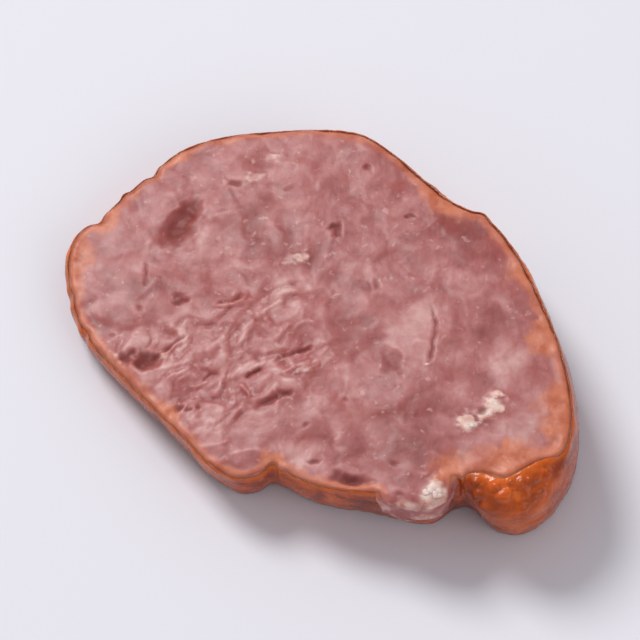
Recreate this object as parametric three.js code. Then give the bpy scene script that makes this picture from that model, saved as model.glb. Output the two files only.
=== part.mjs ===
// One slice of cured, smoked sausage: a coarse meat filling inside a thin natural casing.
//
// Millimetres, +Z up. The slice lies on its lower cut face, and the origin is in the middle of
// its bounding rectangle on that face. +X runs along the longer way across the slice, towards
// its thick end. The knife went through at a slight angle, so the slice is a shallow wedge.

import * as THREE from "three";

// Driving dimensions
const thinEnd = 3.2; // thickness at the -X end
const thickEnd = 8.8; // thickness at the +X end
const casingThickness = 0.35; // dried gut casing
const bond = 0.1; // film of fat and gel between the filling and the casing
const wallLean = new THREE.Vector2(0.1, 0.24); // sideways run of the wall per mm downwards
const wallBulge = 0.3; // the wall swells this far between the two cuts
const toeRadius = 0.7; // rounding of the wall into the lower cut
const shoulderRadius = 0.8; // rounding of the wall into the upper cut
const faceCrown = 0.55; // the upper cut stands this far above its rim
const stationCount = 144; // sections around the slice

// The upper cut's edge, anticlockwise from the blunt end. The sausage was squeezed and creased
// in its skin, so the edge has the dents and lobes that the names say.
const edgePoints = [
  [18.5, -8.2],
  [17.8, -4],
  [16.7, -0.5],
  [15.5, 2.7],
  [14.1, 5.6],
  [12.4, 7.9], // hump beside the dent
  [11, 8.7],
  [9.6, 9.9], // dent
  [7.8, 11.6],
  [5.8, 13.9],
  [3.2, 16],
  [0.2, 16.7],
  [-3.6, 16.9],
  [-7.5, 16.7],
  [-10.5, 15.8],
  [-12.5, 14.1], // nick in the skin
  [-15.1, 11.7],
  [-16.7, 10.2],
  [-18.3, 9.1],
  [-19, 6.9],
  [-18.8, 4.4],
  [-17.7, 0.5],
  [-14, -4.5],
  [-10, -9.3],
  [-7.9, -11.8],
  [-6.3, -12.7],
  [-4.7, -12.7], // small lobe
  [-3.2, -12.3], // crease
  [-1.8, -13.2],
  [0.6, -14.3],
  [3.7, -14.9],
  [6.2, -15.7],
  [7.8, -15.9], // lump of fat at the rim
  [9.2, -15.2],
  [10.1, -14.4], // deep crease
  [11, -15],
  [12.1, -16.3],
  [14, -16.8], // rounded lobe of skin
  [16.1, -15.9],
  [17.6, -13.7],
  [18.4, -11.1],
];
const rimFat = new THREE.Vector2(7.6, -15.9);
const skinLobe = new THREE.Vector2(14.6, -16.5);
const faceCentre = new THREE.Vector2(0, 0);

const materials = {
  filling: new THREE.MeshStandardMaterial({ color: "#b9807c", roughness: 0.5, metalness: 0 }),
  casing: new THREE.MeshStandardMaterial({ color: "#93401f", roughness: 0.3, metalness: 0 }),
};

// Thickness of the slice at a distance x along its length.
function thicknessAt(x) {
  const [blunt, thin] = [18.5, -19];
  return THREE.MathUtils.mapLinear(x, thin, blunt, thinEnd, thickEnd);
}

// 1 at a place on the edge, falling smoothly to 0 at the given reach from it.
function near(point, place, reach) {
  return 1 - THREE.MathUtils.smoothstep(point.distanceTo(place), 0, reach);
}

// The sections around the slice: where the upper edge is, which way is out, and how it is cut.
function makeStations() {
  const corners = edgePoints.map(([x, y]) => new THREE.Vector3(x, y, 0));
  const edge = new THREE.CatmullRomCurve3(corners, true, "centripetal");
  const stations = [];
  for (let i = 0; i < stationCount; i++) {
    const share = i / stationCount;
    const point = edge.getPointAt(share);
    const along = edge.getTangentAt(share);
    const at = new THREE.Vector2(point.x, point.y);
    stations.push({
      at,
      out: new THREE.Vector2(along.y, -along.x).normalize(),
      height: thicknessAt(at.x),
      shoulder: shoulderRadius + 1.1 * near(at, skinLobe, 4.5),
      tear: near(at, rimFat, 3), // the casing is torn away over the lump of fat
    });
  }
  return stations;
}

// A point of the wall, from the lower cut (rise 0) to the upper cut (rise 1), at a depth below
// the casing's outer surface. The wall is a rounded toe, a swelling side and a rounded shoulder.
function wallPoint(station, rise, depth) {
  const [toeEnd, shoulderStart] = [0.2, 0.6];
  const { at, out, height, shoulder } = station;
  let inset, z, sideways, upwards;
  if (rise < toeEnd) {
    const turn = ((rise / toeEnd) * Math.PI) / 2;
    [sideways, upwards] = [Math.sin(turn), -Math.cos(turn)];
    inset = toeRadius * (1 - sideways);
    z = toeRadius * (1 + upwards);
  } else if (rise < shoulderStart) {
    [sideways, upwards] = [1, 0];
    inset = 0;
    z = THREE.MathUtils.mapLinear(rise, toeEnd, shoulderStart, toeRadius, height - shoulder);
  } else {
    const turn = (((rise - shoulderStart) / (1 - shoulderStart)) * Math.PI) / 2;
    [sideways, upwards] = [Math.cos(turn), Math.sin(turn)];
    inset = shoulder * (1 - sideways);
    z = height - shoulder * (1 - upwards);
  }
  const swell = wallBulge * Math.sin((Math.PI * z) / height);
  const outwards = swell - inset - depth * sideways;
  const place = at
    .clone()
    .addScaledVector(out, outwards)
    .addScaledVector(wallLean, height - z);
  return new THREE.Vector3(place.x, place.y, z - depth * upwards);
}

// Turns a lathed profile into a ring of sections that follow the stations. placeAt gives the
// point of one profile row at one station.
function lathedAround(stations, rowCount, placeAt) {
  const profile = Array.from({ length: rowCount }, (_, row) => new THREE.Vector2(1, row));
  const geometry = new THREE.LatheGeometry(profile, stations.length);
  const position = geometry.getAttribute("position");
  for (let turn = 0; turn <= stations.length; turn++) {
    for (let row = 0; row < rowCount; row++) {
      const point = placeAt(stations[turn % stations.length], row);
      position.setXYZ(turn * rowCount + row, point.x, point.y, point.z);
    }
  }
  geometry.computeVertexNormals();
  return geometry;
}

// The gentle hollows that the knife left in the upper cut.
function knifeWaves(x, y) {
  return 0.12 * Math.sin(x / 4 + y / 7) + 0.1 * Math.cos(y / 3.2 - x / 9);
}

// The filling: a flat lower cut, the wall under the casing, and the crowned upper cut.
function makeFilling(stations) {
  const depth = casingThickness + bond;
  const lowerShares = [0, 0.45, 0.8, 0.96];
  const wallRises = [0, 0.1, 0.2, 0.33, 0.47, 0.6, 0.73, 0.87, 1];
  const upperShares = [0.94, 0.85, 0.72, 0.56, 0.38, 0.2, 0];
  const wallStart = lowerShares.length;
  const upperStart = wallStart + wallRises.length;
  const rowCount = upperStart + upperShares.length;

  function placeAt(station, row) {
    if (row >= wallStart && row < upperStart) {
      return wallPoint(station, wallRises[row - wallStart], depth);
    }
    const lower = row < wallStart;
    const share = lower ? lowerShares[row] : upperShares[row - upperStart];
    const rim = wallPoint(station, lower ? 0 : 1, depth);
    const x = THREE.MathUtils.lerp(faceCentre.x, rim.x, share);
    const y = THREE.MathUtils.lerp(faceCentre.y, rim.y, share);
    if (lower) return new THREE.Vector3(x, y, 0);
    const crown = (faceCrown + knifeWaves(x, y)) * (1 - share ** 3);
    return new THREE.Vector3(x, y, thicknessAt(x) - depth + crown);
  }

  return lathedAround(stations, rowCount, placeAt);
}

// The casing: a closed ring of skin round the wall. It stops short of both cuts, where it has
// shrunk back, and its upper edge dips where it is torn.
function makeCasing(stations) {
  const lowerEdge = 0.1;
  const upperEdge = 0.86;
  const tornEdge = 0.42;
  const steps = 8;
  const rowCount = 2 * (steps + 1) + 1;

  function placeAt(station, row) {
    const top = THREE.MathUtils.lerp(upperEdge, tornEdge, station.tear);
    const corner = row === rowCount - 1 ? 0 : row; // the profile closes on its first corner
    const outside = corner <= steps;
    const step = outside ? corner : 2 * steps + 1 - corner;
    const rise = THREE.MathUtils.lerp(lowerEdge, top, step / steps);
    return wallPoint(station, rise, outside ? 0 : casingThickness);
  }

  return lathedAround(stations, rowCount, placeAt);
}

function makeSlice() {
  const stations = makeStations();
  const filling = new THREE.Mesh(makeFilling(stations), materials.filling);
  filling.name = "meat_filling";
  const casing = new THREE.Mesh(makeCasing(stations), materials.casing);
  casing.name = "casing";
  const slice = new THREE.Group();
  slice.add(filling, casing);
  const box = new THREE.Box3().setFromObject(slice, true);
  const middle = box.getCenter(new THREE.Vector3());
  slice.position.set(-middle.x, -middle.y, -box.min.z);
  return slice;
}

export default makeSlice();
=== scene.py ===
# One slice of cured, smoked sausage, as cut: coarse meat in a natural casing, lying on its lower cut.
# Everything is worked out in millimetres, and a mesh is turned to metres as it is made.
import math

import bpy
import numpy as np
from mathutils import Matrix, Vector
from mathutils.bvhtree import BVHTree
from mathutils.kdtree import KDTree


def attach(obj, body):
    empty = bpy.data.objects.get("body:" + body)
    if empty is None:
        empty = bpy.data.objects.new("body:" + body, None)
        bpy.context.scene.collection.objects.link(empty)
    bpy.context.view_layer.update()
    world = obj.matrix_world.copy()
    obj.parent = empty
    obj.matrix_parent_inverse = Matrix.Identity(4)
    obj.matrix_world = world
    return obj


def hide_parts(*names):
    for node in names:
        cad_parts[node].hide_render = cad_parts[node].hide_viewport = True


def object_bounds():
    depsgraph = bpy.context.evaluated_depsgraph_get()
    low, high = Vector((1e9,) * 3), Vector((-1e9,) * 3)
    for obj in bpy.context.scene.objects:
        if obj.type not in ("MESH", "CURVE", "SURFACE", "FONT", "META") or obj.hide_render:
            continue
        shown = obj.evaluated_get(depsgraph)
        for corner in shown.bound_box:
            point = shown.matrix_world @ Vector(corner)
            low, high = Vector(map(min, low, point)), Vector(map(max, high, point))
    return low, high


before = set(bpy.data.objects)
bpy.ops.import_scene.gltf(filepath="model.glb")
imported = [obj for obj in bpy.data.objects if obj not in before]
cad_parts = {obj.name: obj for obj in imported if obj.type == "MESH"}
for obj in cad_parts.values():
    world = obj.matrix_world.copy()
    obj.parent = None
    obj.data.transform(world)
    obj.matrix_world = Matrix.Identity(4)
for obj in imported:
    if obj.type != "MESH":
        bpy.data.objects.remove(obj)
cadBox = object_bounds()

mm = 0.001


# Patterns. Each takes a width in mm, then a seed that picks its part of the random numbers.
chances = np.random.default_rng(11).random(65536)


def chance(column, row, seed):  # a fixed random number from 0 to 1 for each square of a grid
    return chances[(column * 7919 + row * 10473 + seed * 4099) % chances.size]


def ease(value, low, high):  # 0 below low, 1 above high, smooth between
    share = np.clip((value - low) / (high - low), 0, 1)
    return share * share * (3 - 2 * share)


def hills(x, y, width, seed, around=None):  # rolling noise from -1 to 1; repeats after `around` hills of x
    u, v = x / width, y / width
    column, row = np.floor(u).astype(int), np.floor(v).astype(int)
    u, v = u - column, v - row

    def slope(right, up):
        place = column + right if around is None else (column + right) % around
        turn = 2 * np.pi * chance(place, row + up, seed)
        return np.cos(turn) * (u - right) + np.sin(turn) * (v - up)

    across = u**3 * (u * (6 * u - 15) + 10)
    along = v**3 * (v * (6 * v - 15) + 10)
    lower = slope(0, 0) * (1 - across) + slope(1, 0) * across
    upper = slope(0, 1) * (1 - across) + slope(1, 1) * across
    return 1.5 * (lower * (1 - along) + upper * along)


def layered(x, y, width, seed, layers=3):  # hills with ever smaller hills on them
    weights = 0.55 ** np.arange(layers)
    total = 0
    for layer in range(layers):
        total = total + weights[layer] * hills(x, y, width / 2**layer, seed + 10 * layer)
    return total / weights.sum()


def grains(x, y, width, seed):  # scattered lumps: how far the nearest and the next are, its number, its side
    x, y = x / width, y / width
    column, row = np.floor(x).astype(int), np.floor(y).astype(int)
    nearest, second = np.full(x.shape, 9.0), np.full(x.shape, 9.0)
    number, side = np.zeros(x.shape), np.zeros(x.shape)
    for right in (-1, 0, 1):
        for up in (-1, 0, 1):
            c, r = column + right, row + up
            gapX = x - c - 0.1 - 0.8 * chance(c, r, seed)
            gap = np.hypot(gapX, y - r - 0.1 - 0.8 * chance(c, r, seed + 1))
            closer = gap < nearest
            second = np.where(closer, nearest, np.minimum(second, gap))
            number = np.where(closer, chance(c, r, seed + 2), number)
            side = np.where(closer, gapX, side)
            nearest = np.minimum(nearest, gap)
    return nearest, second, number, side


def oval(x, y, centre, size, turn):  # 0 in the middle of an oval, 1 on its edge; size is length and width
    turn = math.radians(turn)
    x, y = x - centre[0], y - centre[1]
    along = (x * math.cos(turn) + y * math.sin(turn)) / (size[0] / 2)
    across = (y * math.cos(turn) - x * math.sin(turn)) / (size[1] / 2)
    return np.hypot(along, across)


# The CAD slice, read back as a wall and a top

def castTree(name):  # a CAD node's surface in mm, to be measured with rays
    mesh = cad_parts[name].data
    return BVHTree.FromPolygons([v.co / mm for v in mesh.vertices], [list(p.vertices) for p in mesh.polygons])


def reach(tree, start, outward, height):  # how far the outer surface is from a point inside
    start = Vector((*start, height))
    return (tree.ray_cast(start, Vector((*outward, 0)))[0] - start).length


def smoothed(values, count):  # evened out round the ring
    weights = np.hanning(count + 2)[1:-1]
    half = count // 2
    wrapped = np.concatenate([values[-half:], values, values[:half]])
    return np.convolve(wrapped, weights / weights.sum(), "valid")


wall = {
    "rings": 126,            # rings of points from the middle of the upper cut to its rim
    "lowerRings": 42,        # the same on the lower cut, which needs less
    "levels": (0.25, 0.47, 0.7),    # shares of the height where the CAD wall is measured
    "rays": 1440,            # rays outwards from the middle, for the outline
    "within": 2.0,           # the later rays start this far inside the outline
    "probe": 14.0,           # the upper cut's height is read this far left and right of the middle
    "probeFrom": 40.0,       # from this high
    "rimBelow": 0.1,         # the rim of the upper cut lies this far below those readings
    "halfLength": 18.0,
    "evened": 9,             # points that are averaged to take the facets out of the CAD wall
    "outside": 0.45,         # the skin's outer surface stands this far outside the filling's wall
    "folds": [   # place on the wall, width along it, how far it stands out, share of that at the foot
        ((10.0, -15.2), 1.2, -0.45, 0.4),     # crease between the fat and the lobe of skin
        ((14.3, -17.4), 3.6, 0.25, 0.9),      # lobe of skin
        ((-3.4, -13.1), 0.9, -0.35, 0.6),     # small crease
        ((-5.7, -13.6), 1.6, 0.2, 0.8),       # small lobe
        ((9.5, 9.0), 1.5, -0.2, 0.7),         # dent
        ((12.2, 7.4), 1.1, 0.2, 0.5),         # hump beside it
        ((-12.7, 13.2), 0.8, -0.3, 0.2),      # nicks
        ((-16.8, 9.4), 0.8, -0.3, 0.2),
        ((-14.7, 11.3), 0.6, 0.22, 0.2),
        ((-17.9, -0.6), 0.7, -0.2, 0.3),
        ((-19.1, 2.9), 1.0, -0.15, 0.3),
    ],
}


class Ring:  # the wall of the slice, as points at equal steps round it
    def __init__(self):
        filling = castTree("meat_filling")
        down = Vector((0, 0, -1))
        probe, above = wall["probe"], wall["probeFrom"]
        left, right = (filling.ray_cast(Vector((x, 0, above)), down)[0].z for x in (-probe, probe))
        self.rise = (right - left) / (2 * probe)     # the upper cut climbs this much for each mm of x
        self.middle = (right + left) / 2 - wall["rimBelow"]
        count = 8 * wall["rings"]
        angles = np.linspace(0, 2 * np.pi, wall["rays"], endpoint=False)
        outward = np.stack([np.cos(angles), np.sin(angles)], 1)
        heights = wall["levels"][1] * (self.middle + self.rise * wall["halfLength"] * outward[:, 0])
        radii = np.array([reach(filling, (0, 0), o, h) for o, h in zip(outward, heights)])
        x, y = (outward * smoothed(radii, wall["evened"])[:, None]).T
        steps = np.hypot(np.roll(x, -1) - x, np.roll(y, -1) - y)
        length = np.concatenate([[0], np.cumsum(steps)])
        self.around = length[-1]
        self.arc = np.arange(count) * self.around / count
        x = np.interp(self.arc, length, np.append(x, x[0]))
        y = np.interp(self.arc, length, np.append(y, y[0]))
        self.line = np.stack([x, y], 1)
        self.height = self.middle + self.rise * x
        along = np.roll(self.line, -3, 0) - np.roll(self.line, 3, 0)
        out = np.stack([smoothed(along[:, 1], 9), smoothed(-along[:, 0], 9)], 1)
        self.out = out / np.linalg.norm(out, axis=1)[:, None]
        self.stands = []                     # how far each level stands out from the line
        inside = self.line - wall["within"] * self.out
        for share in wall["levels"]:
            gaps = [reach(filling, p, o, share * h) for p, o, h in zip(inside, self.out, self.height)]
            stand = np.array(gaps) - wall["within"] + wall["outside"]
            self.stands.append(smoothed(stand, 2 * wall["evened"] + 1))
        folds = [(self.near(place, width), stand, foot) for place, width, stand, foot in wall["folds"]]
        for beside, stand, foot in folds:
            for number, share in enumerate(wall["levels"]):
                self.stands[number] = self.stands[number] + beside * stand * (foot + (1 - foot) * share)

    def at(self, share):  # the casing's outer surface at a share of the height, one or one for each point
        a, b, c = wall["levels"]
        s = np.broadcast_to(share, self.arc.shape)
        p, q, r = self.stands
        stand = (p * (s - b) * (s - c) / ((a - b) * (a - c)) + q * (s - a) * (s - c) / ((b - a) * (b - c))
                 + r * (s - a) * (s - b) / ((c - a) * (c - b)))
        return self.line + self.out * stand[:, None]

    def gapTo(self, place):  # how far along the rim each point is from a place, less than 0 before it
        gap = self.arc - self.arc[self.closest(place)]
        return (gap + self.around / 2) % self.around - self.around / 2

    def near(self, place, width):  # 1 beside a place on the rim, falling to 0 at `width` along it
        return 1 - ease(np.abs(self.gapTo(place)), 0, width)

    def closest(self, place):
        top = self.at(1.0)
        return int(np.argmin(np.hypot(top[:, 0] - place[0], top[:, 1] - place[1])))


ring = Ring()
print("wall measured:", round(ring.around, 1), "mm round")

# The skin's outer surface, from its lower edge up the wall and over the upper edge of it
skin = {
    "thickness": 0.28, "edge": 0.1, "gap": 0.01, "foot": 0.12, "toe": 0.5,
    "shoulder": 0.34, "wrap": 42,   # rounding at the top, and the degrees that the skin turns over it
    "lobe": (14.3, -17.2), "lobeWidth": 6.4, "lobeShoulder": 2.9, "lobeWrap": 86, "lobeRise": 0.3,
    "rows": 62, "innerRows": 3,
    "nicked": (-14.0, 12.0),                   # ragged stretch
    "tear": (7.1, -16.6), "tearHalf": 2.7, "tearDepth": 0.68,   # torn over a lump of fat; depth is a share
    "beads": [   # blisters on the lobe: place along the rim and down from the skin's edge, radius, height
        (-1.7, 0.8, 0.45, 0.28), (-0.8, 1.5, 0.55, 0.34), (0.4, 0.9, 0.42, 0.26), (-2.5, 1.8, 0.42, 0.24),
        (1.5, 2.0, 0.5, 0.26), (-1.6, 2.8, 0.55, 0.26), (0.3, 2.9, 0.42, 0.22), (2.6, 1.1, 0.4, 0.22),
        (-0.6, 0.5, 0.3, 0.18), (1.2, 1.0, 0.32, 0.2), (-3.1, 0.9, 0.3, 0.16),
    ],
}


class Profile:  # how the skin runs up the wall and over the upper edge, at each point of the ring
    def __init__(self):
        self.lobe = ring.near(skin["lobe"], skin["lobeWidth"])
        self.shoulder = skin["shoulder"] + (skin["lobeShoulder"] - skin["shoulder"]) * self.lobe
        self.turn = np.radians(skin["wrap"] + (skin["lobeWrap"] - skin["wrap"]) * ease(self.lobe, 0, 0.5))
        self.top = ring.height + skin["lobeRise"] * self.lobe
        self.straight = self.top - self.shoulder - skin["foot"]
        self.length = self.straight + self.shoulder * self.turn

    def at(self, distance):  # height, and how far in from the wall, at a distance up from the lower edge
        over = np.clip((distance - self.straight) / self.shoulder, 0, self.turn)
        z = skin["foot"] + np.minimum(distance, self.straight) + self.shoulder * np.sin(over)
        return z, self.shoulder * (1 - np.cos(over)) + self.toe(z)

    def insetAt(self, z):
        over = np.clip((z - self.top + self.shoulder) / self.shoulder, 0, np.sin(self.turn))
        return self.shoulder * (1 - np.sqrt(1 - over**2)) + self.toe(z)

    def toe(self, z):
        under = np.clip(skin["toe"] - z, 0, skin["toe"])
        return 0.8 * (skin["toe"] - np.sqrt(skin["toe"] ** 2 - under**2))

    def torn(self, spread=1.0):  # how far down the skin is torn, as a share of its length
        gap = ring.gapTo(skin["tear"]) + 0.22 * hills(ring.arc, ring.arc * 0, 0.9, 150)
        return skin["tearDepth"] * np.clip(1 - (np.abs(gap) / (skin["tearHalf"] * spread)) ** 2.4, 0, 1)


profile = Profile()

# The upper cut: features in mm on the face, then the grid on which its relief is worked out
cut = {
    # where the meat tore instead of cutting; its scales run up to the right by `lean` degrees
    "torn": {"centre": (-7.2, -3.9), "size": (21, 12), "turn": 12, "lean": 30},
    "pits": [   # centre, length and width, turn, depth
        ((-10.8, 7.8), (3.2, 2.3), 62, 0.24),
        ((-9.9, 9.4), (2.8, 1.7), 50, 0.2),
        ((-13.1, -3.4), (2.1, 1.6), -10, 0.6),
        ((-14.4, -2.8), (1.1, 0.8), 0, 0.35),
        ((1.1, 6.7), (1.3, 0.9), 15, 0.26),
        ((2.2, -14.6), (2.8, 1.2), -14, 0.8),
        ((-10.7, -7.7), (0.9, 0.7), 30, 0.26),
        ((-9.8, -7.8), (0.6, 0.4), 30, 0.16),
        ((-9.0, -7.5), (0.6, 0.4), 30, 0.16),
        ((3.6, 12.0), (1.0, 0.8), 0, 0.16),
        ((6.8, 7.4), (0.7, 0.6), 0, 0.18),
        ((-6.4, 11.5), (0.8, 0.6), 0, 0.16),
        ((5.2, -5.0), (1.1, 2.2), 8, 0.1),
        ((-0.4, -12.8), (1.0, 0.6), 10, 0.18),
        ((-10.5, 1.5), (0.9, 0.7), 20, 0.2),
        ((12.0, -9.5), (0.8, 0.6), 50, 0.2),
    ],
    "cracks": [   # from, to, bend, width, depth
        ((8.3, -0.3), (7.9, -5.7), 0.4, 0.42, 0.2),
        ((-3.5, -4.4), (-0.3, -3.3), 0.12, 0.5, 0.24),
        ((-5.6, -5.5), (-4.2, -4.8), 0.0, 0.55, 0.26),
        ((-8.8, -5.4), (-7.5, -4.9), 0.1, 0.4, 0.18),
        ((-4.8, -8.1), (-1.8, -7.0), 0.15, 0.8, 0.24),
        ((-11.9, -2.9), (-9.9, -1.4), 0.0, 0.5, 0.2),
        ((-13.1, 5.3), (-13.2, 2.7), 0.0, 0.35, 0.12),
        ((-7.8, 1.1), (-5.7, 1.9), -0.35, 0.4, 0.16),
    ],
    "crests": [   # the same, for torn edges that stand up
        ((-12.5, -3.7), (-9.5, -1.4), 0.1, 0.55, 0.16),
        ((-8.1, 0.7), (-5.2, 1.9), -0.45, 0.5, 0.16),
        ((-2.8, -5.5), (-0.4, -4.5), 0.1, 0.8, 0.12),
        ((-9.1, -10.9), (-6.4, -10.5), -0.15, 0.35, 0.08),
        ((-6.2, -6.0), (-5.0, -7.2), 0.1, 0.5, 0.14),
        ((-9.5, -6.2), (-8.2, -5.6), 0.1, 0.5, 0.14),
        ((-4.4, -0.3), (-2.6, 0.9), 0.2, 0.5, 0.12),
    ],
    "fat": [   # centre, length and width, turn, height, how white
        ((11.0, -10.5), (1.9, 1.9), 20, 0.12, 1.0),
        ((12.7, -9.5), (2.4, 1.9), 35, 0.12, 1.0),
        ((13.1, -8.5), (1.3, 1.0), 0, 0.06, 0.8),
        ((8.3, -16.2), (2.6, 3.8), -20, 0.22, 1.0),
        ((6.4, -16.9), (2.6, 1.8), 10, 0.12, 0.6),
        ((-3.5, 13.7), (2.8, 0.8), 4, 0.05, 0.5),
        ((-4.9, 11.9), (1.9, 1.4), 0, 0.06, 0.5),
        ((-1.5, 4.4), (1.4, 1.4), 20, 0.09, 0.75),
        ((-2.5, 4.2), (1.5, 1.1), 20, 0.05, 0.4),
        ((-15.5, -2.8), (1.2, 1.4), 0, 0.08, 0.5),
        ((-11.6, -3.1), (1.1, 0.7), 35, 0.08, 0.5),
        ((-1.1, -5.1), (2.2, 0.9), 15, 0.06, 0.45),
        ((7.9, -5.6), (0.6, 0.6), 0, 0.06, 0.7),
        ((-2.9, -12.7), (1.2, 2.0), 0, 0.06, 0.4),
        ((14.8, 2.5), (0.9, 0.9), 60, 0.05, 0.5),
        ((-7.3, 11.7), (0.9, 0.8), 0, 0.05, 0.4),
    ],
    "shades": [   # centre, length and width, turn, how much lighter or (below 0) darker
        ((-4.2, 7.2), (5.6, 5.2), 0, -0.7), ((-3.6, 4.9), (2.0, 2.2), 0, -0.5),
        ((-11.9, 2.5), (5.2, 2.4), 5, -0.5), ((-8.7, 3.8), (2.4, 1.9), 0, -0.4),
        ((-15.1, 0.2), (3.0, 2.6), 0, -0.55), ((2.0, 1.3), (5.4, 2.6), 10, -0.45),
        ((2.2, -1.9), (2.2, 3.2), 0, -0.65), ((-1.8, -1.2), (2.8, 2.0), 0, -0.35),
        ((5.0, -5.8), (2.2, 4.2), 0, -0.8), ((-3.0, -7.5), (3.8, 1.8), 18, -0.7),
        ((3.3, 5.9), (10, 4), 5, -0.3), ((10.9, 5.9), (6.0, 5.0), -30, -0.95),
        ((5.9, 9.7), (4.0, 2.2), 10, -0.5), ((12.0, -2.5), (2.8, 3.4), 0, -0.2),
        ((11.9, -7.8), (3.4, 1.4), 5, -0.3), ((7.0, -9.4), (6.0, 2.2), 5, -0.7),
        ((5.7, -12.2), (8.5, 2.6), 5, -0.6), ((10.4, -13.6), (2.2, 2.4), 0, -0.4),
        ((-8.5, 6.2), (1.9, 3.2), -10, 0.75), ((-10.5, 8.4), (4.8, 3.0), 60, -1.0),
        ((-13.2, -3.3), (2.6, 2.0), 0, -0.7), ((-4.7, 12.0), (3.4, 2.4), 0, 0.4),
        ((1.8, 11.6), (5.0, 5.0), 0, 0.45), ((7.0, -2.3), (5.0, 5.2), 0, 1.0),
        ((2.4, -6.2), (3.0, 3.8), -30, 0.55), ((-12.7, -1.6), (3.8, 2.0), 5, 0.65),
        ((-13.1, -4.9), (3.8, 2.0), -30, 0.55), ((-6.4, -3.9), (7.5, 4.0), 15, 0.3),
        ((-1.4, -12.4), (3.6, 3.6), 0, 0.9), ((1.7, -10.0), (4.6, 2.4), 0, 0.5),
        ((15.4, -9.4), (4.8, 8.0), 20, 0.9), ((13.6, -5.0), (4.0, 5.0), 0, 0.55),
        ((13.0, -12.0), (5.0, 3.0), 0, 0.6), ((-9.1, -9.0), (6.4, 3.2), -25, 0.3),
        ((14.2, 1.8), (2.8, 5.0), 20, -0.6), ((12.6, 4.4), (3.0, 3.0), 0, -0.4),
    ],
    "reds": [   # centre, length and width, turn, how red
        ((-5.8, 13.1), (1.5, 2.0), 0, 0.7), ((-4.2, 7.0), (5.2, 4.8), 0, 0.45),
        ((-10.5, 8.4), (4.8, 3.0), 60, 0.8), ((-13.2, -3.3), (2.6, 2.0), 0, 0.6),
        ((2.1, -1.6), (1.8, 2.8), 0, 0.85), ((-3.6, 4.8), (1.8, 1.8), 0, 0.6),
        ((-8.7, 3.8), (2.8, 2.0), 0, 0.6), ((-10.5, 1.5), (1.3, 1.1), 0, 0.7),
        ((3.6, 12.0), (1.4, 1.2), 0, 0.6), ((5.6, 10.0), (3.4, 1.8), 0, 0.7),
        ((13.1, 4.5), (3.6, 3.2), 0, 0.85), ((10.2, 6.8), (2.8, 2.8), 0, 0.7),
        ((8.2, 8.5), (1.8, 2.8), 30, 0.7), ((-3.0, -7.4), (3.4, 1.4), 18, 0.7),
        ((8.3, -9.0), (3.8, 1.4), 0, 0.5), ((-7.9, -1.3), (2.6, 1.5), 10, 0.5),
        ((16.0, -6.6), (2.8, 2.4), 0, 0.4), ((-0.8, 1.5), (2.4, 1.8), 0, 0.4),
        ((-15.1, 0.2), (2.4, 2.0), 0, 0.5), ((14.3, 1.4), (2.6, 4.6), 20, 0.8),
    ],
    "gristle": {"centre": (-5.8, -12.5), "size": (4.3, 2.0), "turn": 12},
    "smoke": [   # place on the rim, width along it, how deep the smoke colour went in, how strong
        ((-18.9, 6.0), 5.5, 2.0, 0.95), ((-16.3, 9.6), 2.8, 1.4, 0.8), ((-11.0, 14.6), 2.4, 1.3, 0.75),
        ((-12.1, -8.4), 3.5, 1.1, 0.7), ((-3.4, -12.9), 1.8, 1.1, 0.8), ((9.5, 9.0), 6.0, 1.5, 0.7),
        ((15.5, 2.0), 3.2, 1.5, 0.7), ((17.2, -3.5), 3.4, 2.4, 1.0), ((18.2, -10.8), 7.5, 2.5, 1.0),
        ((14.0, -17.3), 6.5, 4.2, 1.0), ((10.0, -15.1), 2.2, 2.0, 0.9), ((1.0, 15.5), 9.0, 0.8, 0.45),
    ],
    "step": 0.08,
    "margin": 1.5,
}


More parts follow.
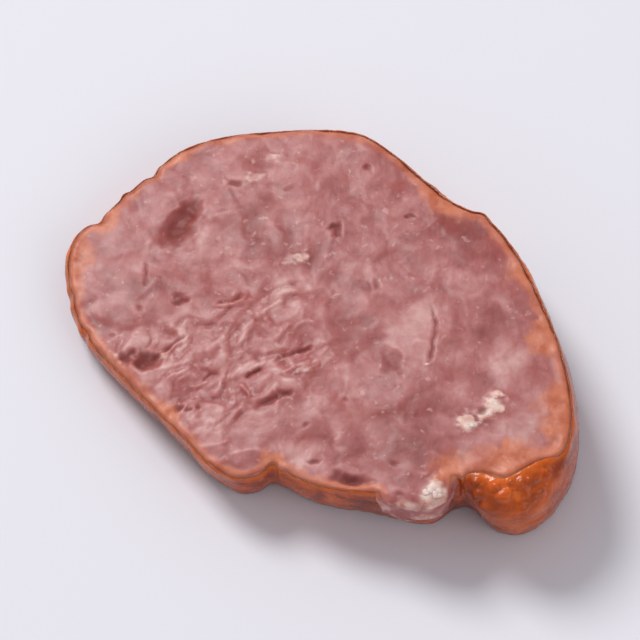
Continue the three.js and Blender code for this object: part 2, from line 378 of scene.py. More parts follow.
class Relief:  # height and marks of the upper cut on a fine grid, to be read back at any point
    def __init__(self):
        edge = ring.at(1.0)
        self.low = edge.min(0) - cut["margin"]
        count = ((edge.max(0) + cut["margin"] - self.low) / cut["step"]).astype(int) + 1
        x, y = np.meshgrid(*(self.low[k] + np.arange(count[k]) * cut["step"] for k in (0, 1)))
        warpX, warpY = hills(x, y, 2.2, 31), hills(x, y, 2.2, 32)
        wx, wy = x + 0.8 * warpX, y + 0.8 * warpY

        zone = cut["torn"]
        edge = oval(x, y, zone["centre"], zone["size"], zone["turn"]) + 0.4 * hills(x, y, 3.5, 40)
        torn = 1 - ease(edge, 0.55, 1.15)
        steep = math.radians(zone["lean"])
        alongTorn = wx * math.cos(steep) + wy * math.sin(steep)
        acrossTorn = wy * math.cos(steep) - wx * math.sin(steep)

        # swells that the knife left, ground pieces a little higher or lower, and a fine moist grain
        nearest, second, number, _ = grains(wx, wy, 3.3, 50)
        seam = 1 - ease(second - nearest, 0.0, 0.14)
        height = 0.16 * hills(x, y, 5.2, 58) + 0.1 * hills(wx, wy, 2.5, 59)
        height += 0.08 * (self.blurred(number, 0.3) - 0.5)
        height -= 0.02 * seam * ease(hills(x, y, 4.0, 57), -0.1, 0.5)
        height += 0.035 * layered(wx, wy * 0.75, 1.15, 61, 2) + 0.01 * layered(x, y, 0.42, 66, 2)
        # torn lean: soft scales that each stand at their own height and slope, with crests of gristle between
        near, further, own, side = grains(alongTorn * 0.58, acrossTorn, 1.6, 70)
        scales = 0.17 * ease(further - near, -0.1, 0.75) * (0.3 + own + 1.3 * side * (own - 0.4))
        fibres = layered(alongTorn * 0.6, acrossTorn, 1.25, 74, 3)
        crest = ease(fibres, 0.05, 0.55)
        crumbNear, crumbNext, crumb, _ = grains(wx, wy, 0.85, 82)
        height += torn * 0.09 * (crumb - 0.3) * ease(crumbNext - crumbNear, 0.0, 0.5)
        height += torn * (0.8 * scales - 0.07 + 0.05 * fibres + 0.03 * crest)
        height += torn * 0.04 * layered(x, y, 0.7, 78, 2)
        # a few stray pores, darkened through the pit mark: partly their own darker colour, partly painted
        # shade
        poreNear, _, poreNumber, _ = grains(wx, wy, 2.6, 80)
        pores = (1 - ease(poreNear, 0.02, 0.13)) * (poreNumber > 0.84)
        height -= 0.08 * pores
        pit = 0.4 * pores

        fat = np.zeros(x.shape)
        granules = grains(x, y, 0.62, 93)
        for centre, size, turn, rise, white in cut["fat"]:
            edge = oval(x + 0.35 * hills(x, y, 0.8, 91), y + 0.35 * hills(x, y, 0.8, 92), centre, size, turn)
            lumpy = edge + 0.35 * (granules[0] - 0.45) + 0.5 * (granules[2] - 0.5)
            mark = 1 - ease(lumpy, 0.35, 1.15)
            height += mark * rise * (0.4 + 0.6 * (1 - granules[0]))
            fat = np.maximum(fat, mark * white)
        shade = 0.5 * hills(x, y, 4.4, 110) + 0.4 * hills(wx, wy, 1.9, 111) + 0.25 * (number - 0.5)
        # in torn lean the crests are lighter, partly pale gristle and partly a painted highlight, and the low
        # gaps between scales are darker as painted shade
        shade += torn * (0.45 + 1.0 * crest - 0.4 * (1 - ease(scales, 0.0, 0.1)) + 0.8 * (crumb - 0.5))
        for centre, size, turn, lighter in cut["shades"]:
            mark = 1 - ease(oval(wx, wy, centre, size, turn) + 0.3 * hills(x, y, 1.4, 97), 0.25, 1.35)
            shade += mark * lighter
        red = 0.5 * ease(hills(x, y, 2.6, 112), 0.0, 0.7)
        red = np.maximum(red, 0.6 * torn * (1 - ease(scales, 0.0, 0.08)) * (1 - crest))
        for centre, size, turn, strength in cut["reds"]:
            mark = 1 - ease(oval(wx, wy, centre, size, turn) + 0.3 * hills(x, y, 1.1, 113), 0.2, 1.3)
            red = np.maximum(red, mark * strength)
        # the pit mark darkens each bowl, partly the meat's own darker colour there and partly painted shade;
        # the raised lip is made lighter as a painted highlight
        for centre, size, turn, depth in cut["pits"]:
            frayX, frayY = layered(x, y, 1.3, 98, 2), layered(x, y, 1.3, 99, 2)
            edge = oval(x + 0.7 * frayX, y + 0.7 * frayY, centre, size, turn)
            bowl = 1 - ease(edge, 0.2, 1.3)
            lip = np.exp(-((edge - 1.35) / 0.3) ** 2)
            height += 0.015 * lip - 0.8 * depth * bowl
            pit = np.maximum(pit, bowl * min(1.0, depth / 0.25))
            shade += 0.2 * lip
        # cracks are darkened and marked as pits, which is painted shade; standing crests are made lighter, a
        # painted highlight
        for kind, sign in (("cracks", -1), ("crests", 1)):
            for start, end, bend, width, size in cut[kind]:
                line = self.beside(x, y, start, end, bend, width)
                height += sign * size * line
                shade += sign * 0.5 * line
                pit = np.maximum(pit, 0.5 * line * (sign < 0))

        lens = cut["gristle"]
        edge = oval(x + 0.1 * hills(x, y, 0.9, 115), y, lens["centre"], lens["size"], lens["turn"])
        outline = np.exp(-((edge - 0.92) / 0.13) ** 2)
        height += 0.05 * outline + 0.04 * (1 - ease(edge, 0.7, 1.0))
        shade += 0.7 * outline * (0.4 + ease(hills(x, y, 1.8, 116), -0.3, 0.4))
        shade -= 0.15 * (1 - ease(edge, 0.6, 0.9))

        self.marks = {"height": height, "fat": fat, "shade": shade, "red": red, "pit": pit, "torn": torn}
        # how far each point lies below its surroundings; it only darkens the meat's colour in hollows, as
        # painted shade
        self.marks["hollow"] = np.clip((self.blurred(height, 0.45) - height) / 0.14, -1, 1)

    def beside(self, x, y, start, end, bend, width):  # 1 along a bent line, falling to 0 at half its width
        start, end = np.array(start), np.array(end)
        along = end - start
        length = np.linalg.norm(along)
        along = along / length
        u = ((x - start[0]) * along[0] + (y - start[1]) * along[1]) / length
        v = (y - start[1]) * along[0] - (x - start[0]) * along[1]
        v = v - bend * np.sin(np.pi * np.clip(u, 0, 1)) - 0.15 * hills(x, y, 0.8, 101)
        return (1 - ease(np.abs(v), 0.0, width / 2)) * ease(u, 0, 0.2) * (1 - ease(u, 0.8, 1))

    def blurred(self, grid, radius):  # evened out over a square of that half width, twice
        count = 2 * int(radius / cut["step"]) + 1
        for _ in range(2):
            for axis in (0, 1):
                pad = [(0, 0), (0, 0)]
                pad[axis] = (count // 2 + 1, count // 2)
                total = np.cumsum(np.pad(grid, pad, "edge"), axis)
                rows = np.arange(grid.shape[axis])
                grid = (np.take(total, rows + count, axis) - np.take(total, rows, axis)) / count
        return grid

    def read(self, name, x, y):  # the value at each point, between the grid's four nearest
        grid = self.marks[name]
        u = np.clip((x - self.low[0]) / cut["step"], 0, grid.shape[1] - 1.001)
        v = np.clip((y - self.low[1]) / cut["step"], 0, grid.shape[0] - 1.001)
        column, row = u.astype(int), v.astype(int)
        u, v = u - column, v - row
        lower = grid[row, column] * (1 - u) + grid[row, column + 1] * u
        upper = grid[row + 1, column] * (1 - u) + grid[row + 1, column + 1] * u
        return lower * (1 - v) + upper * v


relief = Relief()
print("relief worked out:", relief.marks["height"].shape)


def makePiece(name, points, faces, marks):  # points in mm; marks are numbers kept on each point
    mesh = bpy.data.meshes.new(name)
    mesh.from_pydata((np.asarray(points) * mm).tolist(), [], faces)
    for mark, values in marks.items():
        mesh.attributes.new(mark, "FLOAT", "POINT").data.foreach_set("value", np.asarray(values, np.float32))
    mesh.shade_smooth()
    mesh.validate()
    piece = bpy.data.objects.new(name, mesh)
    bpy.context.scene.collection.objects.link(piece)
    return piece


def discPoints(rimPoints, rings):  # rings of 8, 16, 24... points between the middle and the rim
    shares, places = [0.0], [0.0]
    for ringNumber in range(1, rings + 1):
        steps = np.arange(8 * ringNumber)
        shares += [ringNumber / rings] * steps.size
        places += (steps / steps.size).tolist()
    shares, places = np.array(shares), np.array(places)
    count = len(rimPoints)
    at = np.append(np.arange(count), count) / count
    closed = np.vstack([rimPoints, rimPoints[:1]])
    edge = np.stack([np.interp(places, at, closed[:, k]) for k in (0, 1)], 1)
    return edge * shares[:, None], shares


def discFaces(rings, start=0, upward=True):  # a square grid bent to a disc, its squares about one size
    faces = []
    for ringNumber in range(rings):
        inner = start + (1 + 4 * ringNumber * (ringNumber - 1) if ringNumber else 0)
        outer = start + 1 + 4 * ringNumber * (ringNumber + 1)
        innerCount, outerCount = max(1, 8 * ringNumber), 8 * (ringNumber + 1)
        for side in range(4):
            i, o = side * 2 * ringNumber, side * 2 * (ringNumber + 1)
            faces.append((inner + i % innerCount, outer + (o - 1) % outerCount, outer + o, outer + o + 1))
            for step in range(2 * ringNumber):
                faces.append((inner + i + step, outer + o + step + 1,
                              outer + (o + step + 2) % outerCount, inner + (i + step + 1) % innerCount))
    return faces if upward else [face[::-1] for face in faces]


def bandFaces(upper, lower, count):  # between two rows of the same number of points
    return [(upper + i, lower + i, lower + (i + 1) % count, upper + (i + 1) % count) for i in range(count)]


meat = {
    "crown": 0.5,            # the middle of the upper cut stands this far above its rim
    "edgeRound": 0.3,
    "proud": 0.06,           # the meat has swelled a little past the skin's cut edge
    "wallRows": 18,
    "bulge": 0.5,            # the lump of fat in the tear stands out this far
    "lumps": 0.5,
    "marks": ("fat", "shade", "red", "pit", "torn", "hollow"),
}


def smokedIn(toRim, nearestRim, x, y):  # how strong the smoke colour is at each point of the cut
    depth, strength = np.full(ring.arc.shape, 0.7), np.full(ring.arc.shape, 0.5)
    for place, width, deep, strong in cut["smoke"]:
        beside = ring.near(place, width)
        depth = np.maximum(depth, beside * deep)
        strength = np.maximum(strength, beside * strong)
    depth = depth[nearestRim] * (1 + 0.4 * hills(x, y, 2.0, 122) + 0.25 * hills(x, y, 0.8, 123))
    return strength[nearestRim] * (1 - ease(toRim / np.maximum(depth, 0.2), 0.3, 1.3))


def makeFilling():
    rings, lowerRings = wall["rings"], wall["lowerRings"]
    count, lowerCount = 8 * rings, 8 * lowerRings
    bared = ease(profile.torn(), 0.05, 0.5)      # 1 where the skin is torn away
    endInset = profile.shoulder * (1 - np.cos(profile.turn)) + skin["edge"] + skin["gap"]
    topRim = ring.at(1.0) + ring.out * ((meat["bulge"] + endInset) * bared - endInset)[:, None]
    flat, shares = discPoints(topRim, rings)
    x, y = flat[:, 0], flat[:, 1]

    tree = KDTree(count)
    for i, (px, py) in enumerate(topRim):
        tree.insert((px, py, 0), i)
    tree.balance()
    found = [tree.find((px, py, 0)) for px, py in flat]
    toRim = np.array([f[2] for f in found])
    nearestRim = np.array([f[1] for f in found])

    evenRim = smoothed(np.hypot(*topRim.T), 121)
    rimAngle = np.arctan2(topRim[:, 1], topRim[:, 0])
    evenShare = np.hypot(x, y) / np.interp(np.arctan2(y, x), rimAngle, evenRim, period=2 * np.pi)
    edge = (meat["edgeRound"] + 0.9 * bared)[nearestRim]
    into = np.clip(edge - toRim, 0, None)
    drop = 0.45 * (edge - np.sqrt(np.maximum(edge**2 - into**2, 0)))
    ragged = 0.12 * hills(x, y, 1.3, 120) * (1 - ease(toRim, 0, 1.5))
    knob = skin["lobeRise"] * profile.lobe[nearestRim] * (1 - ease(toRim, 0, 3.0))
    calm = 0.35 + 0.65 * ease(toRim, 0.1, 0.9)
    z = ring.middle + ring.rise * x + meat["proud"] + meat["crown"] * (1 - np.clip(evenShare, 0, 1) ** 3)
    z += ragged + knob - drop + relief.read("height", x, y) * calm
    points = [np.column_stack([x, y, z])]
    marks = {name: [relief.read(name, x, y)] for name in meat["marks"]}
    marks["rim"] = [toRim + 2 * bared[nearestRim]]
    marks["smoke"] = [smokedIn(toRim, nearestRim, x, y) * (1 - 0.8 * bared[nearestRim])]
    faces = discFaces(rings)
    start = len(flat) - count
    rimZ = z[-count:]

    def addRow(xy, rowZ, **given):
        row = sum(len(p) for p in points)
        points.append(np.column_stack([xy, rowZ]))
        for name in marks:
            marks[name].append(np.broadcast_to(given.get(name, 0.0), len(xy)))
        return row

    for number in range(1, meat["wallRows"] + 1):
        down = (number / (meat["wallRows"] + 1)) ** 1.15
        bare = ease(profile.torn(1.1) - down, -0.12, 0.15)   # 1 where the tear bares the wall
        z = rimZ * (1 - down)
        lumps = meat["lumps"] * layered(ring.arc, z, 1.7, 131, 3) + 0.08 * layered(ring.arc, z, 0.45, 135, 2)
        thinned = (skin["thickness"] - skin["edge"]) * (1 - ease(down, 0, 0.1))
        behind = skin["thickness"] - thinned + skin["gap"]
        behind += 0.4 * profile.lobe          # clear of the folds in the lobe
        stand = (meat["bulge"] * (1 - ease(down, 0.3, 0.85)) + lumps * ease(down, 0, 0.15)) * bare
        stand -= (behind + profile.insetAt(z)) * (1 - bare)
        tone = layered(ring.arc, z, 1.5, 137, 2)
        place = ring.at(1 - down) + ring.out * stand[:, None]
        # the shade mark darkens the wall further down, as painted shade, over a random tone
        row = addRow(place, z, fat=0.55 * bare * ease(tone, -0.2, 0.4), shade=-0.6 * down + 0.5 * tone,
                     rim=2.0 * bare, smoke=0.5 * (1 - bare))
        faces += bandFaces(start, row, count)
        start = row

    # down to the lower cut, where every third point goes on
    third = slice(None, None, count // lowerCount)
    foot = (ring.at(0.02) - ring.out * (skin["thickness"] + 0.25))[third]
    row = addRow(foot, np.full(lowerCount, skin["foot"]), smoke=0.5)
    for i in range(lowerCount):
        a, b = start + 3 * i, row + i
        nextA, nextB = start + (3 * i + 3) % count, row + (i + 1) % lowerCount
        faces += [(a, b, a + 1), (a + 1, b, nextB, a + 2), (a + 2, nextB, nextA)]
    start = row

    lowerRim = (ring.at(0.0) - ring.out * (skin["thickness"] + 0.45))[third]
    flat, shares = discPoints(lowerRim, lowerRings)
    x, y = flat[:, 0], flat[:, 1]
    toRim = (1 - shares) * np.hypot(x, y) / np.maximum(shares, 0.01)
    dip = 0.5 * np.clip(layered(x + 70, y, 1.9, 140, 3) - 0.05, 0, 1) * ease(toRim, 0.0, 1.0)
    # dips in the lower cut are darkened through the pit and hollow-shade marks, which is painted shade
    row = addRow(flat, dip, rim=toRim, pit=0.6 * ease(dip, 0.12, 0.35), hollow=0.8 * ease(dip, 0.02, 0.2),
                 fat=0.5 * ease(hills(x, y, 1.4, 143), 0.45, 0.6), torn=ease(hills(x, y, 5, 145), -0.1, 0.4),
                 shade=0.8 * hills(x, y, 3.5, 144) + 0.4 * hills(x, y, 1.6, 147),
                 red=ease(hills(x, y, 2.6, 148), 0.1, 0.8),
                 smoke=0.6 * (1 - ease(toRim + 0.5 * hills(x, y, 2.0, 149), 0.2, 1.1)))
    faces += discFaces(lowerRings, row, upward=False)
    faces += bandFaces(start, row + len(flat) - lowerCount, lowerCount)
    marks = {name: np.concatenate(values) for name, values in marks.items()}
    filling = makePiece("sausageMeat", np.vstack(points), faces, marks)
    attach(filling, "root")
    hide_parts("meat_filling")
    return filling


def makeCasing():
    count = len(ring.arc)
    depth = profile.torn()
    torn = ease(depth, 0.0, 0.25)
    nicked = ring.near(skin["nicked"], 6.0)
    lobe = profile.lobe
    turns = round(ring.around)                    # patterns are this many mm long, so that they meet
    fromLobe = ring.gapTo(skin["lobe"])

    def ripples(width, z, seed, stretch=1.0):     # hills `width` mm across, stretched up the wall
        around = round(turns / width)
        return hills(ring.arc * around / ring.around, z / (width * stretch), 1.0, seed, around)

    flatZ = ring.arc * 0
    ragged = 0.06 * ripples(0.9, flatZ, 201) + 0.03 * ripples(0.35, flatZ, 202) - 0.03
    ragged += nicked * (0.16 * ripples(0.7, flatZ, 203) - 0.1)
    ragged += 4 * torn * (1 - torn) * (0.4 * ripples(0.8, flatZ, 204) + 0.15 * ripples(0.35, flatZ, 205))
    length = profile.length * (1 - depth) + ragged

    def row(level, sink):   # round the skin at a share of its own length, `sink` below its outer surface
        distance = length * level
        z, inset = profile.at(distance)
        fromTop = length - distance
        lift = 0.1 * torn * (1 - ease(fromTop, 0.0, 1.2)) + 0.07 * nicked * (1 - ease(fromTop, 0, 0.6))
        drift = 0.4 * ripples(3.0, z, 212)
        folds = 0.11 * ripples(5.0, z, 210) + 0.06 * ripples(1.7, z, 215)
        folds += 0.045 * (1 - 2 * np.abs(ripples(1.1, z + drift, 211, 4.0)))             # creases up the wall
        folds += (0.02 + 0.03 * lobe) * (1 - 2 * np.abs(ripples(2.0, z, 214, 0.3)))      # wrinkles along it
        folds += 0.014 * ripples(0.35, z, 213, 1.8) + 0.07 * lobe * ripples(1.2, z, 216)
        for along, down, radius, high in skin["beads"]:
            gap = np.hypot(fromLobe - along, fromTop - down) / radius
            folds += high * np.sqrt(np.clip(1 - gap**2, 0, 1)) * ease(lobe, 0.0, 0.1)
        folds *= 0.2 + 0.8 * ease(fromTop, 0, 0.5)
        over = np.clip((distance - profile.straight) / profile.shoulder, 0, profile.turn)
        push = folds + lift - sink
        xy = ring.at(z / ring.height) + ring.out * (push * np.cos(over) - inset)[:, None]
        return np.column_stack([xy, z + push * np.sin(over)])

    rows = [row(number / skin["rows"], 0.0) for number in range(skin["rows"] + 1)]
    for number in range(skin["innerRows"] + 1):
        level = 1 - number / skin["innerRows"]
        rows.append(row(level, skin["edge"] + (skin["thickness"] - skin["edge"]) * min(1.0, (1 - level) * 3)))
    faces = []
    for number in range(len(rows)):
        faces += bandFaces((number + 1) % len(rows) * count, number * count, count)
    fromEdge = [length * (1 - number / skin["rows"]) for number in range(skin["rows"] + 1)]
    fromEdge += [flatZ] * (skin["innerRows"] + 1)
    z = np.concatenate([r[:, 2] for r in rows])
    marks = {"up": z / np.tile(ring.height, len(rows)), "fromEdge": np.concatenate(fromEdge),
             "lobe": np.tile(lobe, len(rows))}
    casing = makePiece("smokedCasing", np.vstack(rows), faces, marks)
    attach(casing, "root")
    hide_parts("casing")
    return casing


def ink(code):  # an sRGB hex colour as linear RGBA
    parts = [int(code[i:i + 2], 16) / 255 for i in (1, 3, 5)]
    return (*[c / 12.92 if c <= 0.04045 else ((c + 0.055) / 1.055) ** 2.4 for c in parts], 1.0)


def join(tree, node, inputs):  # each input gets a value, a socket, or a node, for its first output
    for socket, source in inputs.items():
        if isinstance(source, bpy.types.Node):
            source = next(output for output in source.outputs if output.enabled)
        if isinstance(source, bpy.types.NodeSocket):
            tree.links.new(source, node.inputs[socket])
        else:
            node.inputs[socket].default_value = source


# A colour Mix has its share at input 0 and its colours at 6 and 7; a Map Range has what comes in at 0,
# the range it starts from at 1 and 2, and the range it ends in at 3 and 4.
def addNode(tree, kind, inputs=None, stops=(), **settings):
    node = tree.nodes.new(kind)
    for name, value in settings.items():
        setattr(node, name, value)
    join(tree, node, inputs or {})
    if stops:
        band = node.color_ramp.elements
        for place, _ in stops[2:]:
            band.new(place)
        for element, (place, code) in zip(band, stops):
            element.position = place
            element.color = ink(code)
    return node


def newMaterial(name, look):  # look holds the shader's constants by socket name
    material = bpy.data.materials.new(name)
    material.use_nodes = True
    tree = material.node_tree
    tree.nodes.clear()
    shader = addNode(tree, "ShaderNodeBsdfPrincipled", look)
    addNode(tree, "ShaderNodeOutputMaterial", {"Surface": shader})
    return material, tree, shader


meatFinish = {
    "noises": {   # size in mm, detail, roughness, distortion; "wet" is drawn coarser than it is, to show
        "cloud": (1.4, 3, 0.5, 0.6), "speckle": (0.6, 2, 0.5, 0.3), "redness": (0.9, 3, 0.55, 0.0),
        "fatTone": (0.7, 3, 0.55, 0.0), "fatEdge": (0.35, 2, 0.55, 0.0), "smokeEdge": (0.8, 3, 0.6, 0.0),
        "smokeTone": (1.6, 3, 0.55, 0.0), "gloss": (1.1, 3, 0.55, 0.0), "wet": (0.16, 3, 0.6, 0.0),
        "smeared": (0.4, 3, 0.55, 0.2), "crumbly": (0.4, 3, 0.6, 0.4),
    },
    "grains": {"smeared": (84, 1.6), "crumbly": (cut["torn"]["lean"], 2.2)},   # degrees, and how drawn out
    "tones": ((0.08, "#80322e"), (0.3, "#924a47"), (0.5, "#a7615e"), (0.72, "#ba7f7b"), (0.95, "#cb9f99")),
    "fatTones": ((0.35, "#cf9c8c"), (0.6, "#e4cbc0")),
    "smokeTones": ((0.35, "#b35a36"), (0.6, "#cd7c5c")),
    "red": "#9a3f36", "speck": "#cb9f99", "pit": "#74322a", "skinLine": "#6b3322",
    "look": {
        "IOR": 1.42, "Subsurface Weight": 0.7, "Subsurface Radius": (1.0, 0.45, 0.35),
        "Subsurface Scale": 0.9 * mm, "Coat Weight": 0.06, "Coat Roughness": 0.2,
    },
}


def curedMeat():
    # Cured pork, coarsely ground and set, then sliced. Myoglobin fixed by nitrite gives the mauve pink,
    # ground pieces the mottling, fat the pale flecks, smoke the orange rim, and moisture the soft sheen.
    finish = meatFinish
    material, tree, shader = newMaterial("cured pork, coarse ground, knife cut", finish["look"])
    place = addNode(tree, "ShaderNodeTexCoord").outputs["Object"]
    mark = {name: addNode(tree, "ShaderNodeAttribute", attribute_name=name).outputs["Fac"]
            for name in (*meat["marks"], "rim", "smoke")}
    vectors = {}
    for name, (turn, drawn) in finish["grains"].items():
        vectors[name] = addNode(tree, "ShaderNodeMapping", {"Vector": place, "Scale": (drawn, 1, 1),
                                "Rotation": (0, 0, math.radians(turn))}, vector_type="TEXTURE")
    noise = {}
    for name, (size, detail, rough, distortion) in finish["noises"].items():
        noise[name] = addNode(tree, "ShaderNodeTexNoise", {
            "Vector": vectors.get(name, place), "Scale": 1 / (size * mm), "Detail": detail,
            "Roughness": rough, "Distortion": distortion})
    grain = addNode(tree, "ShaderNodeMix", {0: mark["torn"], 2: noise["smeared"], 3: noise["crumbly"]})

    # tone: the placed shades, clouds and grain on both sides of the middle, and darker in hollows as painted
    # shade
    clouds, grit, middle = 0.75, 0.16, 0.5
    tone = middle - (clouds + grit) * middle
    for source, weight in ((mark["shade"], 0.26), (noise["cloud"], clouds), (grain, grit),
                           (mark["hollow"], -0.12)):
        tone = addNode(tree, "ShaderNodeMath", {0: source, 1: weight, 2: tone}, operation="MULTIPLY_ADD")
    colour = addNode(tree, "ShaderNodeValToRGB", {0: tone}, finish["tones"])
    fatTone = addNode(tree, "ShaderNodeValToRGB", {0: noise["fatTone"]}, finish["fatTones"])
    smokeTone = addNode(tree, "ShaderNodeValToRGB", {0: noise["smokeTone"]}, finish["smokeTones"])

    # small flecks of fat, more where the meat is torn; frayed edges for the placed lumps and the smoke
    sums = {}
    for name, source, weight, other in (("speck", mark["torn"], 0.05, noise["speckle"]),
                                        ("fat", noise["fatEdge"], 0.4, mark["fat"]),
                                        ("smoke", noise["smokeEdge"], 0.25, mark["smoke"])):
        sums[name] = addNode(tree, "ShaderNodeMath", {0: source, 1: weight, 2: other},
                             operation="MULTIPLY_ADD")
    share = {}
    for name, source, low, high, least, most in (
            ("red", noise["redness"], 0.3, 0.7, 0.45, 0.9), ("speck", sums["speck"], 0.62, 0.76, 0, 0.5),
            ("fat", sums["fat"], 0.3, 1.15, 0, 1), ("smoke", sums["smoke"], 0.125, 0.845, 0, 0.95),
            ("skinLine", mark["rim"], 0.1, 0, 0, 0.3), ("gloss", noise["gloss"], 0.3, 0.7, 0.43, 0.57)):
        share[name] = addNode(tree, "ShaderNodeMapRange", {0: source, 1: low, 2: high, 3: least, 4: most},
                              interpolation_type="SMOOTHSTEP")
    share["red"] = addNode(tree, "ShaderNodeMath", {0: mark["red"], 1: share["red"]}, operation="MULTIPLY")
    # the pit colour darkens pits, pores and cracks: partly the meat's own darker colour there, partly painted
    # shade
    share["pit"] = addNode(tree, "ShaderNodeMath", {0: mark["pit"], 1: 0.8}, operation="MULTIPLY")
    over = {name: ink(finish[name]) for name in ("red", "speck", "pit", "skinLine")}
    over.update({"fat": fatTone, "smoke": smokeTone})
    for name in ("red", "speck", "fat", "pit", "smoke", "skinLine"):   # from the lowest layer to the top one
        colour = addNode(tree, "ShaderNodeMix", {0: share[name], 6: colour, 7: over[name]}, data_type="RGBA")

    rough = addNode(tree, "ShaderNodeMath", {0: mark["pit"], 1: 0.4, 2: share["gloss"]},
                    operation="MULTIPLY_ADD")
    fine = addNode(tree, "ShaderNodeBump", {"Height": noise["wet"], "Strength": 0.2, "Distance": 0.04 * mm})
    coarse = addNode(tree, "ShaderNodeBump", {"Height": grain, "Strength": 0.3, "Distance": 0.08 * mm,
                     "Normal": fine})
    join(tree, shader, {"Base Color": colour, "Roughness": rough, "Normal": coarse})
    return material


casingFinish = {
    "noises": {   # size in mm, detail, roughness, distortion
        "cloud": (3.2, 4, 0.6, 0.8), "lean": (1.2, 3, 0.6, 0.5), "fleck": (0.6, 2, 0.5, 0.4),
        "gloss": (1.5, 3, 0.55, 0.0), "creases": (0.45, 3, 0.6, 0.3), "wrinkles": (0.54, 3, 0.6, 0.6),
    },
    "drawn": {"creases": (1, 1, 0.25), "wrinkles": (0.35, 0.35, 1.4)},   # up the wall, and along it
    "tones": ((0.3, "#661f0b"), (0.45, "#8f3310"), (0.58, "#c04f12"), (0.74, "#d96c22")),
    # the colour that darkens the foot of the wall is painted shade
    "footShade": "#661f0b", "brown": "#8f3310", "amber": "#d96c22", "edge": "#7a3a24",
    "look": {
        "IOR": 1.4, "Specular IOR Level": 0.2, "Subsurface Weight": 0.25, "Coat Weight": 0.3,
        "Subsurface Radius": (1.0, 0.35, 0.15), "Subsurface Scale": 0.5 * mm, "Coat Roughness": 0.1,
    },
}


def smokedCasing():
    # Natural pork gut, dried and smoked: a thin glossy collagen film, amber where it is thin over fat and
    # red brown over lean, with fine creases from drying.
    finish = casingFinish
    material, tree, shader = newMaterial("natural pork casing, smoked", finish["look"])
    place = addNode(tree, "ShaderNodeTexCoord").outputs["Object"]
    mark = {name: addNode(tree, "ShaderNodeAttribute", attribute_name=name).outputs["Fac"]
            for name in ("up", "fromEdge", "lobe")}
    vectors = {name: addNode(tree, "ShaderNodeMapping", {"Vector": place, "Scale": scale})
               for name, scale in finish["drawn"].items()}
    noise = {}
    for name, (size, detail, rough, distortion) in finish["noises"].items():
        noise[name] = addNode(tree, "ShaderNodeTexNoise", {
            "Vector": vectors.get(name, place), "Scale": 1 / (size * mm), "Detail": detail,
            "Roughness": rough, "Distortion": distortion})

    # over the clouds: lean and fat behind the skin, the thin cut edge, the lobe, and painted shade at the
    # foot of the wall
    colour = addNode(tree, "ShaderNodeValToRGB", {0: noise["cloud"]}, finish["tones"])
    for source, low, high, most, over in (
            (noise["lean"], 0.52, 0.66, 0.45, "brown"), (noise["fleck"], 0.62, 0.72, 0.5, "amber"),
            (mark["fromEdge"], 0.9, 0.0, 0.55, "amber"), (mark["fromEdge"], 0.08, -0.02, 0.9, "edge"),
            (mark["lobe"], 0.0, 1.0, 0.25, "amber"), (mark["up"], 0.25, 0.0, 0.35, "footShade")):
        share = addNode(tree, "ShaderNodeMapRange", {0: source, 1: low, 2: high, 4: most},
                        interpolation_type="SMOOTHSTEP")
        colour = addNode(tree, "ShaderNodeMix", {0: share, 6: colour, 7: ink(finish[over])}, data_type="RGBA")

    first = addNode(tree, "ShaderNodeBump", {"Height": noise["creases"], "Strength": 0.5,
                    "Distance": 0.09 * mm})
    second = addNode(tree, "ShaderNodeBump", {"Height": noise["wrinkles"], "Strength": 0.45,
                     "Distance": 0.08 * mm, "Normal": first})
    rough = addNode(tree, "ShaderNodeMapRange", {0: noise["gloss"], 1: 0.3, 2: 0.7, 3: 0.22, 4: 0.4},
                    interpolation_type="SMOOTHSTEP")
    join(tree, shader, {"Base Color": colour, "Roughness": rough, "Normal": second})
    return material


crumbs = {   # soft granules on the lumps of fat
    "perSquareMm": 2.6, "smallest": 0.1, "largest": 0.24, "lumpiness": 0.25, "seed": 4, "bumpScale": 4500.0,
    "flattest": (0.8, 0.6, 0.15), "roundest": (1.6, 1.2, 0.4),
    "look": {
        "Base Color": ink("#e4cbc0"), "Roughness": 0.6, "IOR": 1.46, "Subsurface Weight": 0.3,
        "Subsurface Radius": (1.0, 0.8, 0.7), "Subsurface Scale": 0.1 * mm,
    },
}


def crumbledFat():
    # Pork back fat, cut by the knife: soft white granules, dull with a faint wet sheen.
    return newMaterial("pork back fat, crumbled", crumbs["look"])[0]


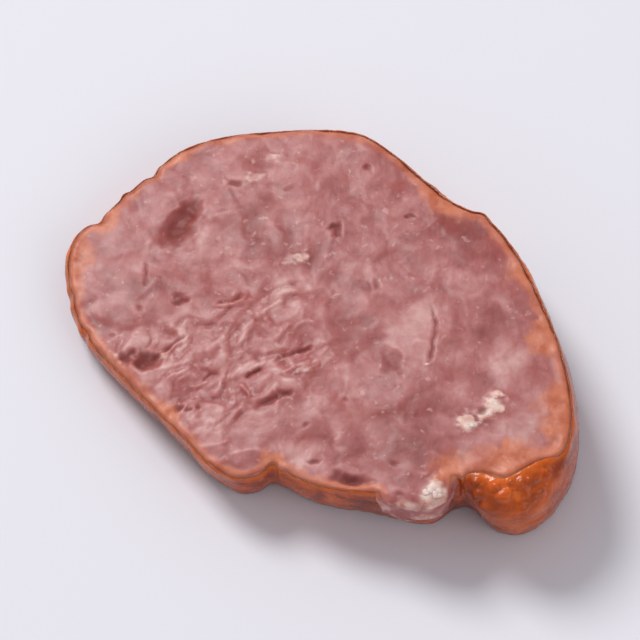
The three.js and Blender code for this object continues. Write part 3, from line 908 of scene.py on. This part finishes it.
def makeCrumbs(filling, material):
    tree = bpy.data.node_groups.new("fatGranules", "GeometryNodeTree")
    tree.interface.new_socket("Geometry", in_out="INPUT", socket_type="NodeSocketGeometry")
    sockets = {}
    for name in ("Density", "Smallest", "Largest", "Lumpiness", "Seed"):
        kind = "NodeSocketInt" if name == "Seed" else "NodeSocketFloat"
        sockets[name] = tree.interface.new_socket(name, in_out="INPUT", socket_type=kind).identifier
    tree.interface.new_socket("Geometry", in_out="OUTPUT", socket_type="NodeSocketGeometry")
    given = addNode(tree, "NodeGroupInput").outputs

    # granules lie on white fat, well inside the rim, where the cut faces up
    fat, gap = (addNode(tree, "GeometryNodeInputNamedAttribute", {"Name": name}, data_type="FLOAT")
                for name in ("fat", "rim"))
    normal = addNode(tree, "GeometryNodeInputNormal")
    upward = addNode(tree, "ShaderNodeSeparateXYZ", {0: normal}).outputs["Z"]
    density = given["Density"]
    for source, low, high in ((fat, 0.6, 1.0), (gap, 0.6, 1.4), (upward, 0.2, 0.4)):
        share = addNode(tree, "ShaderNodeMapRange", {0: source, 1: low, 2: high})
        density = addNode(tree, "ShaderNodeMath", {0: share, 1: density}, operation="MULTIPLY")
    spread = addNode(tree, "GeometryNodeDistributePointsOnFaces",
                     {"Mesh": given["Geometry"], "Density": density, "Seed": given["Seed"]})

    # each is a squashed ball of its own size and turn, then made lumpy
    size = addNode(tree, "FunctionNodeRandomValue",
                   {2: given["Smallest"], 3: given["Largest"], "Seed": given["Seed"]})
    squash = addNode(tree, "FunctionNodeRandomValue", {0: crumbs["flattest"], 1: crumbs["roundest"],
                     "Seed": 2}, data_type="FLOAT_VECTOR")
    scale = addNode(tree, "ShaderNodeVectorMath", {0: squash, "Scale": size}, operation="SCALE")
    spin = addNode(tree, "FunctionNodeRandomValue", {2: 0.0, 3: 6.28, "Seed": 3})
    turned = addNode(tree, "FunctionNodeRotateRotation", {0: spread.outputs["Rotation"],
                     1: addNode(tree, "ShaderNodeCombineXYZ", {2: spin})}, rotation_space="LOCAL")
    ball = addNode(tree, "GeometryNodeMeshIcoSphere", {"Radius": 1.0, "Subdivisions": 2})
    laid = addNode(tree, "GeometryNodeInstanceOnPoints",
                   {"Points": spread, "Instance": ball, "Rotation": turned, "Scale": scale})
    real = addNode(tree, "GeometryNodeRealizeInstances", {0: laid})
    bumps = addNode(tree, "ShaderNodeTexNoise", {"Scale": crumbs["bumpScale"], "Detail": 1.0})
    push = addNode(tree, "ShaderNodeMath", {0: bumps, 1: 0.5}, operation="SUBTRACT")
    push = addNode(tree, "ShaderNodeMath", {0: push, 1: given["Lumpiness"]}, operation="MULTIPLY")
    outward = addNode(tree, "GeometryNodeInputNormal")
    offset = addNode(tree, "ShaderNodeVectorMath", {0: outward, "Scale": push}, operation="SCALE")
    shaped = addNode(tree, "GeometryNodeSetPosition", {"Geometry": real, "Offset": offset})
    smooth = addNode(tree, "GeometryNodeSetShadeSmooth", {0: shaped})
    painted = addNode(tree, "GeometryNodeSetMaterial", {"Geometry": smooth, "Material": material})
    addNode(tree, "NodeGroupOutput", {0: painted})

    carrier = bpy.data.objects.new("crumbCarrier", filling.data)
    bpy.context.scene.collection.objects.link(carrier)
    modifier = carrier.modifiers.new("fatGranules", "NODES")
    modifier.node_group = tree
    values = {name.capitalize(): crumbs[name] * mm for name in ("smallest", "largest", "lumpiness")}
    values.update({"Density": crumbs["perSquareMm"] / mm**2, "Seed": crumbs["seed"]})
    for name, value in values.items():
        modifier[sockets[name]] = value
    carrier.update_tag()
    bpy.context.view_layer.update()
    mesh = bpy.data.meshes.new_from_object(carrier.evaluated_get(bpy.context.evaluated_depsgraph_get()))
    bpy.data.objects.remove(carrier)
    mesh.name = "meatCrumbs"
    piece = bpy.data.objects.new("meatCrumbs", mesh)
    bpy.context.scene.collection.objects.link(piece)
    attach(piece, "root")
    return piece


filling = makeFilling()
filling.data.materials.append(curedMeat())
print("filling:", len(filling.data.polygons), "faces")
casing = makeCasing()
casing.data.materials.append(smokedCasing())
print("casing:", len(casing.data.polygons), "faces")
crumbPiece = makeCrumbs(filling, crumbledFat())
print("crumbs:", len(crumbPiece.data.polygons), "faces")


studio = {   # metres, watts, degrees; the lens is in mm
    "floor": "#dfdee4", "world": "#f1f0f6", "worldStrength": 0.5,
    "key": (-0.42, 0.5, 0.72), "keySize": 0.4, "keyPower": 7.2,
    "fill": (0.55, -0.5, 0.5), "fillSize": 0.6, "fillPower": 1.4,
    "elevation": 60.0, "distance": 0.38, "lens": 285.0, "sensor": 36.0, "floorHalf": 3.0,
}


def addLight(name, place, size, power):
    lamp = bpy.data.lights.new(name, "AREA")
    lamp.shape, lamp.size, lamp.energy = "DISK", size, power
    light = bpy.data.objects.new(name, lamp)
    light.location = place
    light.rotation_euler = (-Vector(place)).to_track_quat("-Z", "Y").to_euler()
    bpy.context.scene.collection.objects.link(light)


def setStudio():
    scene = bpy.context.scene
    world = bpy.data.worlds.new("studio")
    world.use_nodes = True
    sky = {"Color": ink(studio["world"]), "Strength": studio["worldStrength"]}
    join(world.node_tree, world.node_tree.nodes["Background"], sky)
    scene.world = world
    scene.view_settings.view_transform = "Standard"

    half = studio["floorHalf"]
    corners = [(-half, -half, 0), (half, -half, 0), (half, half, 0), (-half, half, 0)]
    mesh = bpy.data.meshes.new("floor")
    mesh.from_pydata(corners, [], [(0, 1, 2, 3)])
    floor = bpy.data.objects.new("floor", mesh)
    scene.collection.objects.link(floor)
    board = newMaterial("matt white board", {"Base Color": ink(studio["floor"]), "Roughness": 0.75})[0]
    mesh.materials.append(board)

    addLight("key", studio["key"], studio["keySize"], studio["keyPower"])
    addLight("fill", studio["fill"], studio["fillSize"], studio["fillPower"])

    lens = bpy.data.cameras.new("camera")
    lens.lens, lens.sensor_width, lens.clip_start = studio["lens"], studio["sensor"], 0.01
    camera = bpy.data.objects.new("camera", lens)
    scene.collection.objects.link(camera)
    low, high = cadBox
    target = (low + high) / 2
    tilt = math.radians(studio["elevation"])
    back = Vector((0, -math.cos(tilt), math.sin(tilt)))
    camera.location = target + back * studio["distance"]
    camera.rotation_euler = (-back).to_track_quat("-Z", "Y").to_euler()
    scene.camera = camera


setStudio()
print("studio set")
